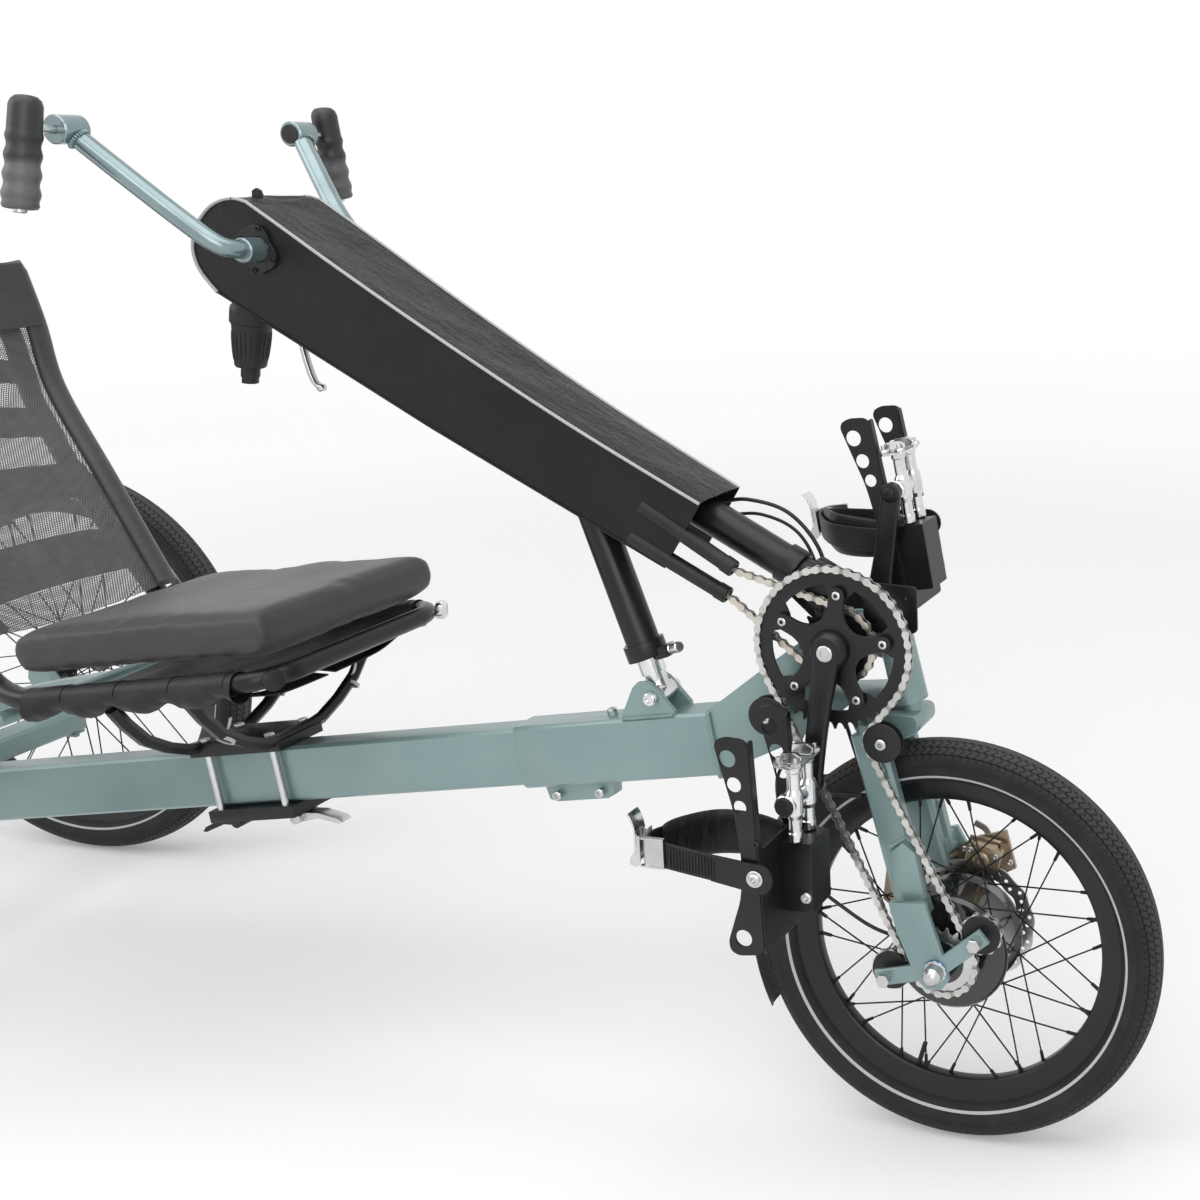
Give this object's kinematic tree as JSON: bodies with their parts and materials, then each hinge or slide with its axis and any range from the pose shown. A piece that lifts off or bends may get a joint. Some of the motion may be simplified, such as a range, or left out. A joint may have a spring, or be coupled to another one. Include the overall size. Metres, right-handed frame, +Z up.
{
  "type": "recumbent tricycle",
  "caption": "Recumbent tricycle with a hand crank on a tilting mast and a foot crank with strapped foot plates, driving one steered front wheel ahead of a low seat and a wide rear axle",
  "frame": {"origin": "On the ground under the middle of the trike's box, midway between its sides", "axes": "+X points the way the trike rolls forwards, +Y to the rider's left, +Z up"},
  "size_m": [2.2896, 0.86, 1.2352],
  "materials": {
    "teal_paint": "satin pale teal paint over welded steel",
    "black_paint": "satin black coating",
    "black_plastic": "matt black moulded plastic",
    "tyre_rubber": "black tyre rubber, fine moulded tread",
    "grip_rubber": "soft black rubber",
    "chrome": "bright chrome plate",
    "bright_steel": "bare polished steel",
    "champagne_metal": "anodised pale bronze aluminium",
    "chain_steel": "bright nickel chain links",
    "seat_fabric": "dark grey padded cloth",
    "mesh_fabric": "dark open mesh cloth with bound edges",
    "cover_vinyl": "black coated cloth with pale piping",
    "strap_webbing": "black moulded strap",
    "cable_sheath": "smooth black cable housing"
  },
  "bodies": {
    "rear_frame": {"main_tube": "teal_paint", "rear_axle_beam": "teal_paint"},
    "rear_wheel_left": {"rear_tyre_left": "tyre_rubber", "rear_wheel_left": "black_paint"},
    "rear_wheel_right": {"rear_tyre_right": "tyre_rubber", "rear_wheel_right": "black_paint"},
    "seat": {"seat_frame": "black_paint", "seat_stay": "teal_paint", "seat_pan": "black_plastic", "seat_cushion": "seat_fabric", "backrest_cover": "mesh_fabric", "seat_clamp_upper": "black_paint", "seat_clamp_lower": "black_paint"},
    "seat_lever_front": {"seat_lever_front": "bright_steel"},
    "seat_lever_rear": {"seat_lever_rear": "black_paint"},
    "front_frame": {"front_sleeve": "teal_paint", "neck_frame": "teal_paint", "drive_chain": "chain_steel"},
    "fork": {"fork_crown": "teal_paint", "fork_leg_right": "teal_paint", "fork_leg_left": "teal_paint", "front_axle": "bright_steel", "front_fender": "black_plastic", "brake_calipers": "champagne_metal"},
    "front_wheel": {"front_tyre": "tyre_rubber", "front_wheel": "black_paint", "brake_rotor": "bright_steel"},
    "hub_sprocket": {"hub_sprocket": "bright_steel"},
    "roller_upper_rear": {"roller_upper_rear": "black_plastic"},
    "roller_upper_front": {"roller_upper_front": "black_plastic"},
    "roller_lower_rear": {"roller_lower_rear": "black_plastic"},
    "roller_lower_front": {"roller_lower_front": "black_plastic"},
    "foot_crank": {"chainring": "black_paint", "crank_right": "black_paint", "crank_left": "black_paint"},
    "pedal_right": {"foot_plate_right": "black_paint", "pedal_link_right": "chrome", "foot_strap_right": "strap_webbing"},
    "pedal_left": {"foot_plate_left": "black_paint", "pedal_link_left": "chrome", "foot_strap_left": "strap_webbing"},
    "buckle_right": {"buckle_lever_right": "chrome"},
    "buckle_left": {"buckle_lever_left": "chrome"},
    "mast_yoke": {"mast_yoke": "black_paint"},
    "mast": {"mast_tube": "black_paint", "chain_guides": "black_plastic", "mast_cover": "cover_vinyl", "hand_chain": "chain_steel", "brake_cable": "cable_sheath", "shift_cable": "cable_sheath"},
    "hand_crank": {"hand_axle": "bright_steel", "hand_crank_right": "teal_paint", "hand_crank_left": "teal_paint"},
    "grip_right": {"grip_right": "grip_rubber"},
    "grip_left": {"grip_left": "grip_rubber"},
    "brake_lever": {"brake_lever": "bright_steel"},
    "twist_shifter": {"twist_shifter": "black_plastic"},
    "strut_lower": {"strut_lower": "chrome"},
    "strut_upper": {"strut_upper": "black_paint"},
    "strut_lever": {"strut_lever": "black_paint"}
  },
  "joints": [
    {"name": "rear_wheel_left_spin", "type": "hinge", "parent": "rear_frame", "child": "rear_wheel_left", "pos_m": [-0.81628, 0.386, 0.32848], "axis": [0, 1, 0], "continuous": true},
    {"name": "rear_wheel_right_spin", "type": "hinge", "parent": "rear_frame", "child": "rear_wheel_right", "pos_m": [-0.81628, -0.386, 0.32848], "axis": [0, 1, 0], "continuous": true},
    {"name": "seat_slide", "type": "slide", "parent": "rear_frame", "child": "seat", "axis": [0.987, 0, 0.1609], "range_m": [-0.08, 0.12]},
    {"name": "seat_lever_front_turn", "type": "hinge", "parent": "seat", "child": "seat_lever_front", "pos_m": [-0.01633, 0, 0.31603], "axis": [0, 1, 0], "range_deg": [0, 100]},
    {"name": "seat_lever_rear_turn", "type": "hinge", "parent": "seat", "child": "seat_lever_rear", "pos_m": [-0.10833, 0, 0.30104], "axis": [0, -1, 0], "range_deg": [0, 100]},
    {"name": "frame_length", "type": "slide", "parent": "rear_frame", "child": "front_frame", "axis": [0.987, 0, 0.1609], "range_m": [-0.06, 0.06]},
    {"name": "steering", "type": "hinge", "parent": "front_frame", "child": "fork", "pos_m": [0.82272, 0, 0.62], "axis": [-0.222, 0, 0.975], "range_deg": [-14, 14], "deforming": ["drive_chain", "brake_cable", "shift_cable"]},
    {"name": "front_wheel_spin", "type": "hinge", "parent": "fork", "child": "front_wheel", "pos_m": [0.89272, 0, 0.25204], "axis": [0, 1, 0], "continuous": true},
    {"name": "foot_crank_turn", "type": "hinge", "parent": "front_frame", "child": "foot_crank", "pos_m": [0.76772, 0, 0.623], "axis": [0, 1, 0], "continuous": true},
    {"name": "hub_sprocket_turn", "type": "hinge", "parent": "fork", "child": "hub_sprocket", "pos_m": [0.89272, -0.052, 0.25204], "axis": [0, 1, 0], "continuous": true},
    {"name": "roller_upper_rear_turn", "type": "hinge", "parent": "front_frame", "child": "roller_upper_rear", "pos_m": [0.68472, -0.052, 0.535], "axis": [0, 1, 0], "continuous": true},
    {"name": "roller_upper_front_turn", "type": "hinge", "parent": "fork", "child": "roller_upper_front", "pos_m": [0.82672, -0.052, 0.5155], "axis": [0, 1, 0], "continuous": true},
    {"name": "roller_lower_rear_turn", "type": "hinge", "parent": "fork", "child": "roller_lower_rear", "pos_m": [0.83052, -0.052, 0.2361], "axis": [0, 1, 0], "continuous": true},
    {"name": "roller_lower_front_turn", "type": "hinge", "parent": "fork", "child": "roller_lower_front", "pos_m": [0.94202, -0.052, 0.2934], "axis": [0, 1, 0], "continuous": true},
    {"name": "pedal_right_turn", "type": "hinge", "parent": "foot_crank", "child": "pedal_right", "pos_m": [0.74881, -0.1, 0.46916], "axis": [0, 1, 0], "continuous": true},
    {"name": "buckle_right_turn", "type": "hinge", "parent": "pedal_right", "child": "buckle_right", "pos_m": [0.59081, -0.174, 0.40916], "axis": [0, -1, 0], "range_deg": [0, 60]},
    {"name": "pedal_left_turn", "type": "hinge", "parent": "foot_crank", "child": "pedal_left", "pos_m": [0.78663, 0.1, 0.77684], "axis": [0, 1, 0], "continuous": true},
    {"name": "buckle_left_turn", "type": "hinge", "parent": "pedal_left", "child": "buckle_left", "pos_m": [0.63997, 0.174, 0.69286], "axis": [0, -1, 0], "range_deg": [0, 60]},
    {"name": "mast_tilt", "type": "hinge", "parent": "front_frame", "child": "mast_yoke", "pos_m": [0.76772, 0, 0.623], "axis": [0, 1, 0], "range_deg": [-4, 8], "deforming": ["brake_cable", "shift_cable"]},
    {"name": "mast_roll", "type": "hinge", "parent": "mast_yoke", "child": "mast", "pos_m": [0.78343, 0, 0.65236], "axis": [-0.8818, 0, 0.4717], "range_deg": [-14, 14], "deforming": ["hand_chain", "brake_cable", "shift_cable"]},
    {"name": "hand_crank_turn", "type": "hinge", "parent": "mast", "child": "hand_crank", "pos_m": [0.04972, 0, 1.061], "axis": [0, 1, 0], "continuous": true},
    {"name": "grip_right_turn", "type": "hinge", "parent": "hand_crank", "child": "grip_right", "pos_m": [-0.08328, -0.19, 1.198], "axis": [0, 1, 0], "continuous": true},
    {"name": "grip_left_turn", "type": "hinge", "parent": "hand_crank", "child": "grip_left", "pos_m": [-0.08328, 0.19, 1.198], "axis": [0, 1, 0], "continuous": true},
    {"name": "brake_lever_pull", "type": "hinge", "parent": "mast", "child": "brake_lever", "pos_m": [0.03972, 0, 0.992], "axis": [0, 1, 0], "range_deg": [0, 20], "stiffness_Nm_per_rad": 1.5, "springref_deg": -11.46},
    {"name": "shifter_twist", "type": "hinge", "parent": "mast", "child": "twist_shifter", "pos_m": [-0.02078, 0, 0.99], "axis": [-0.1422, 0, -0.9898], "range_deg": [-60, 60]},
    {"name": "strut_pitch", "type": "hinge", "parent": "front_frame", "child": "strut_lower", "pos_m": [0.51472, 0, 0.53], "axis": [0, 1, 0], "range_deg": [-4.1, 8]},
    {"name": "strut_slide", "type": "slide", "parent": "strut_lower", "child": "strut_upper", "axis": [-0.33, 0, 0.944], "range_m": [-0.0195, 0.0385]},
    {"name": "strut_lever_turn", "type": "hinge", "parent": "strut_upper", "child": "strut_lever", "pos_m": [0.49624, 0.03, 0.58286], "axis": [0.33, 0, -0.944], "range_deg": [0, 100]}
  ],
  "couplings": [
    {"joint": "hub_sprocket_turn", "follows": "foot_crank_turn", "ratio": 2.3},
    {"joint": "hand_crank_turn", "follows": "foot_crank_turn", "ratio": 1.375},
    {"joint": "mast_roll", "follows": "steering", "ratio": 1},
    {"joint": "strut_pitch", "follows": "mast_tilt", "ratio": 0.975},
    {"joint": "strut_slide", "follows": "mast_tilt", "m_per_rad": 0.2695},
    {"joint": "roller_upper_rear_turn", "follows": "foot_crank_turn", "ratio": -4.9259},
    {"joint": "roller_upper_front_turn", "follows": "foot_crank_turn", "ratio": -4.9259},
    {"joint": "roller_lower_rear_turn", "follows": "foot_crank_turn", "ratio": -4.9259},
    {"joint": "roller_lower_front_turn", "follows": "foot_crank_turn", "ratio": -4.9259}
  ]
}
